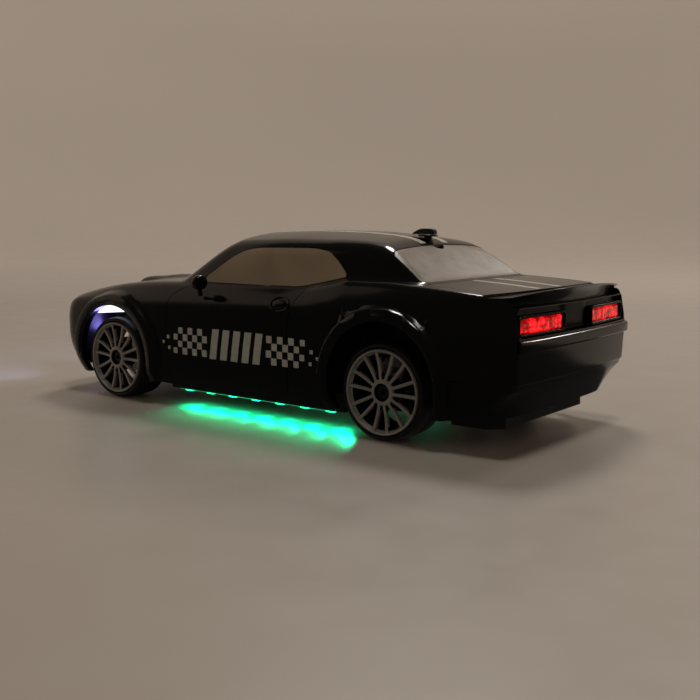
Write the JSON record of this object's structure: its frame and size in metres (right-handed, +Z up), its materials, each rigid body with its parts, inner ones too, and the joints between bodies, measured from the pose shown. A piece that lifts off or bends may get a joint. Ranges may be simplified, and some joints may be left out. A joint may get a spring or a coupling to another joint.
{
  "type": "rc drift car",
  "caption": "Radio-controlled drift car: lift-off coupe body over a shaft-driven chassis with steered front wheels, slick tyres and light strips.",
  "frame": {"origin": "centre of the footprint, on the ground plane under the tyres", "axes": "+X to the car's left, -Y towards the nose, +Z up"},
  "size_m": [0.133, 0.3129, 0.0955],
  "materials": {
    "shell_black": "high-gloss moulded",
    "trim_black": "satin moulded",
    "smoked_window": "frosted smoked sheet",
    "lens_red": "clear red moulded, lit from behind",
    "lens_clear": "clear moulded, lit from behind",
    "knob_black": "satin",
    "chassis_grey": "textured moulded",
    "screw_steel": "machined",
    "battery_blue": "shrink wrap",
    "board_green": "solder mask",
    "board_dark": "solder mask",
    "switch_black": "moulded",
    "led_green": "lit lens",
    "motor_can": "plated",
    "nylon_white": "natural nylon",
    "brass": "machined",
    "shaft_steel": "ground",
    "servo_black": "moulded",
    "rim_silver": "matte silver paint",
    "tyre_black": "smooth slick",
    "wheel_screw_black": "black oxide"
  },
  "bodies": {
    "chassis": {"chassis_tray": "chassis_grey", "battery_pack": "battery_blue", "battery_door": "chassis_grey", "battery_door_screw": "screw_steel", "receiver_board": "board_green", "drive_motor": "motor_can", "steering_servo": "servo_black", "front_gearbox": "chassis_grey", "rear_gearbox": "chassis_grey", "front_arm_left": "chassis_grey", "front_arm_right": "chassis_grey", "lock_post": "chassis_grey", "headlight_board": "board_dark", "tail_light_board": "board_dark", "underglow_strip_left": "led_green", "underglow_strip_right": "led_green"},
    "shell": {"body_shell": "shell_black", "windscreen": "smoked_window", "side_window_left": "smoked_window", "side_window_right": "smoked_window", "rear_window": "smoked_window", "rear_spoiler": "shell_black", "rear_bumper_bar": "trim_black", "tail_panel": "trim_black", "tail_lamp_left": "lens_red", "tail_lamp_right": "lens_red", "front_grille": "trim_black", "headlamp_left": "lens_clear", "headlamp_right": "lens_clear", "door_mirror_left": "shell_black", "door_mirror_right": "shell_black"},
    "body_lock": {"body_lock_knob": "knob_black"},
    "switch_slider": {"power_switch": "switch_black"},
    "motor_shaft": {"motor_pinion": "brass"},
    "centre_drive": {"centre_shaft": "shaft_steel", "spur_gear": "nylon_white"},
    "rear_axle_set": {"rear_axle": "shaft_steel", "rear_crown_gear": "nylon_white", "rim_rear_left": "rim_silver", "rim_rear_right": "rim_silver", "tyre_rear_left": "tyre_black", "tyre_rear_right": "tyre_black", "wheel_screw_rear_left": "wheel_screw_black", "wheel_screw_rear_right": "wheel_screw_black"},
    "front_output": {"front_output_shaft": "shaft_steel", "front_crown_gear": "nylon_white", "dogbone_left": "shaft_steel", "dogbone_right": "shaft_steel"},
    "knuckle_left_body": {"knuckle_left": "nylon_white"},
    "knuckle_right_body": {"knuckle_right": "nylon_white"},
    "front_wheel_left": {"stub_axle_left": "shaft_steel", "rim_front_left": "rim_silver", "tyre_front_left": "tyre_black", "wheel_screw_front_left": "wheel_screw_black"},
    "front_wheel_right": {"stub_axle_right": "shaft_steel", "rim_front_right": "rim_silver", "tyre_front_right": "tyre_black", "wheel_screw_front_right": "wheel_screw_black"},
    "servo_arm": {"servo_horn": "nylon_white"},
    "steering_link": {"tie_bar": "chassis_grey"}
  },
  "joints": [
    {"name": "shell_lift", "type": "slide", "parent": "chassis", "child": "shell", "axis": [0, 0, 1], "range_m": [0, 0.06]},
    {"name": "lock_turn", "type": "hinge", "parent": "shell", "child": "body_lock", "pos_m": [0, 0.0715, 0.092], "axis": [0, 0, 1], "range_deg": [0, 90]},
    {"name": "power_slide", "type": "slide", "parent": "chassis", "child": "switch_slider", "axis": [0, 1, 0], "range_m": [-0.004, 0]},
    {"name": "rear_axle_spin", "type": "hinge", "parent": "chassis", "child": "rear_axle_set", "pos_m": [0, 0.086, 0.0225], "axis": [1, 0, 0], "continuous": true},
    {"name": "centre_spin", "type": "hinge", "parent": "chassis", "child": "centre_drive", "pos_m": [0, 0, 0.0225], "axis": [0, 1, 0], "continuous": true},
    {"name": "motor_spin", "type": "hinge", "parent": "chassis", "child": "motor_shaft", "pos_m": [-0.01285, 0.045, 0.0225], "axis": [0, 1, 0], "continuous": true},
    {"name": "front_output_spin", "type": "hinge", "parent": "chassis", "child": "front_output", "pos_m": [0, -0.098, 0.0225], "axis": [1, 0, 0], "continuous": true},
    {"name": "steer_left", "type": "hinge", "parent": "chassis", "child": "knuckle_left_body", "pos_m": [0.035, -0.098, 0.0225], "axis": [0, 0, 1], "range_deg": [-25, 25]},
    {"name": "steer_right", "type": "hinge", "parent": "chassis", "child": "knuckle_right_body", "pos_m": [-0.035, -0.098, 0.0225], "axis": [0, 0, 1], "range_deg": [-25, 25]},
    {"name": "front_left_spin", "type": "hinge", "parent": "knuckle_left_body", "child": "front_wheel_left", "pos_m": [0.035, -0.098, 0.0225], "axis": [1, 0, 0], "continuous": true},
    {"name": "front_right_spin", "type": "hinge", "parent": "knuckle_right_body", "child": "front_wheel_right", "pos_m": [-0.035, -0.098, 0.0225], "axis": [1, 0, 0], "continuous": true},
    {"name": "tie_slide", "type": "slide", "parent": "chassis", "child": "steering_link", "axis": [1, 0, 0], "range_m": [-0.0079, 0.0079]},
    {"name": "servo_turn", "type": "hinge", "parent": "chassis", "child": "servo_arm", "pos_m": [0.01, -0.068, 0.027], "axis": [0, 0, 1], "range_deg": [-38, 38]}
  ],
  "couplings": [
    {"joint": "centre_spin", "follows": "rear_axle_spin", "ratio": 3},
    {"joint": "motor_spin", "follows": "rear_axle_spin", "ratio": -9.6},
    {"joint": "front_output_spin", "follows": "rear_axle_spin", "ratio": 1},
    {"joint": "front_left_spin", "follows": "rear_axle_spin", "ratio": 1},
    {"joint": "front_right_spin", "follows": "rear_axle_spin", "ratio": 1},
    {"joint": "steer_right", "follows": "steer_left", "ratio": 1},
    {"joint": "tie_slide", "follows": "steer_left", "m_per_rad": -0.018},
    {"joint": "servo_turn", "follows": "steer_left", "ratio": -1.5}
  ]
}
